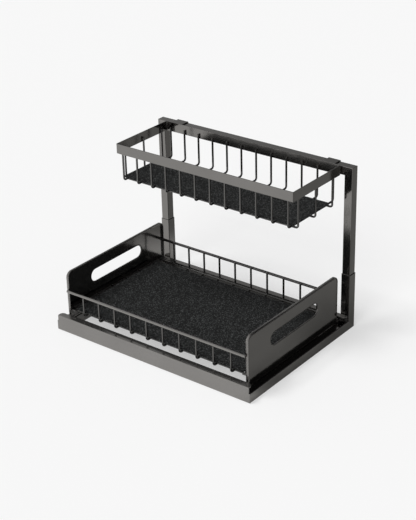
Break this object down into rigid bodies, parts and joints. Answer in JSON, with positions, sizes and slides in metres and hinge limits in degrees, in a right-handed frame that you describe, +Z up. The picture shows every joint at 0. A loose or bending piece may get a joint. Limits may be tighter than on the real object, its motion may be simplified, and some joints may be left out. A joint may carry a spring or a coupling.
{
  "type": "under sink organizer",
  "caption": "Two-tier under sink organizer: a tray with handle slots slides out sideways on hidden rollers, and a wire basket hangs from a crossbar on two posts.",
  "frame": {"origin": "on the floor, under the middle of the whole object", "axes": "+Z up, +X the way the tray slides out, +Y from the front rail to the posts"},
  "size_m": [0.4, 0.2968, 0.2919],
  "materials": {
    "mirror_steel": "gloss",
    "roller_nylon": "satin",
    "mat_felt": "matte"
  },
  "bodies": {
    "base": {"front_rail": "mirror_steel", "rear_rail": "mirror_steel", "left_base_tube": "mirror_steel", "right_base_tube": "mirror_steel", "left_sleeve": "mirror_steel", "right_sleeve": "mirror_steel", "base_roller_pins": "mirror_steel", "travel_stop_front": "mirror_steel", "travel_stop_rear": "mirror_steel"},
    "tray": {"tray_end_left": "mirror_steel", "tray_end_right": "mirror_steel", "tray_ledge_left": "mirror_steel", "tray_ledge_right": "mirror_steel", "tray_front_rod": "mirror_steel", "tray_rear_rod": "mirror_steel", "tray_floor_rods": "mirror_steel", "runner_front": "mirror_steel", "runner_rear": "mirror_steel", "tray_roller_bracket_front": "mirror_steel", "tray_roller_bracket_rear": "mirror_steel", "tray_roller_pins": "mirror_steel", "tray_wire_01": "mirror_steel", "tray_wire_02": "mirror_steel", "tray_wire_03": "mirror_steel", "tray_wire_04": "mirror_steel", "tray_wire_05": "mirror_steel", "tray_wire_06": "mirror_steel", "tray_wire_07": "mirror_steel", "tray_wire_08": "mirror_steel", "tray_wire_09": "mirror_steel", "tray_wire_10": "mirror_steel"},
    "upper_frame": {"left_upper_post": "mirror_steel", "right_upper_post": "mirror_steel", "crossbar": "mirror_steel"},
    "basket": {"basket_rim": "mirror_steel", "basket_hook_left": "mirror_steel", "basket_hook_right": "mirror_steel", "basket_wire_01": "mirror_steel", "basket_wire_02": "mirror_steel", "basket_wire_03": "mirror_steel", "basket_wire_04": "mirror_steel", "basket_wire_05": "mirror_steel", "basket_wire_06": "mirror_steel", "basket_wire_07": "mirror_steel", "basket_wire_08": "mirror_steel", "basket_wire_09": "mirror_steel", "basket_wire_10": "mirror_steel", "basket_wire_11": "mirror_steel", "basket_wire_12": "mirror_steel", "basket_cross_wire_1": "mirror_steel", "basket_cross_wire_2": "mirror_steel", "basket_cross_wire_3": "mirror_steel"},
    "tray_mat": {"tray_mat": "mat_felt"},
    "basket_mat": {"basket_mat": "mat_felt"},
    "base_roller_front": {"base_roller_front": "roller_nylon"},
    "base_roller_rear": {"base_roller_rear": "roller_nylon"},
    "tray_roller_front": {"tray_roller_front": "roller_nylon"},
    "tray_roller_rear": {"tray_roller_rear": "roller_nylon"}
  },
  "joints": [
    {"name": "tray_slide", "type": "slide", "parent": "base", "child": "tray", "axis": [1, 0, 0], "range_m": [0, 0.25]},
    {"name": "upper_frame_lift", "type": "slide", "parent": "base", "child": "upper_frame", "axis": [0, 0, 1], "range_m": [0, 0.1]},
    {"name": "basket_lift", "type": "slide", "parent": "upper_frame", "child": "basket", "axis": [0, 0, 1], "range_m": [0, 0.065]},
    {"name": "tray_mat_lift", "type": "slide", "parent": "tray", "child": "tray_mat", "axis": [0, 0, 1], "range_m": [0, 0.07]},
    {"name": "basket_mat_lift", "type": "slide", "parent": "basket", "child": "basket_mat", "axis": [0, 0, 1], "range_m": [0, 0.06]},
    {"name": "base_roller_front_spin", "type": "hinge", "parent": "base", "child": "base_roller_front", "pos_m": [0.172, -0.14235, 0.0099], "axis": [0, 1, 0], "range_deg": [0, 1841]},
    {"name": "tray_roller_front_spin", "type": "hinge", "parent": "tray", "child": "tray_roller_front", "pos_m": [-0.1701, -0.1404, 0.01375], "axis": [0, 1, 0], "range_deg": [0, 1209]},
    {"name": "base_roller_rear_spin", "type": "hinge", "parent": "base", "child": "base_roller_rear", "pos_m": [0.172, 0.12365, 0.0099], "axis": [0, 1, 0], "range_deg": [0, 1841]},
    {"name": "tray_roller_rear_spin", "type": "hinge", "parent": "tray", "child": "tray_roller_rear", "pos_m": [-0.1701, 0.1217, 0.01375], "axis": [0, 1, 0], "range_deg": [0, 1209]}
  ],
  "couplings": [
    {"joint": "base_roller_front_spin", "follows": "tray_slide", "rad_per_m": 128.21},
    {"joint": "tray_roller_front_spin", "follows": "tray_slide", "rad_per_m": 84.034},
    {"joint": "base_roller_rear_spin", "follows": "tray_slide", "rad_per_m": 128.21},
    {"joint": "tray_roller_rear_spin", "follows": "tray_slide", "rad_per_m": 84.034}
  ]
}
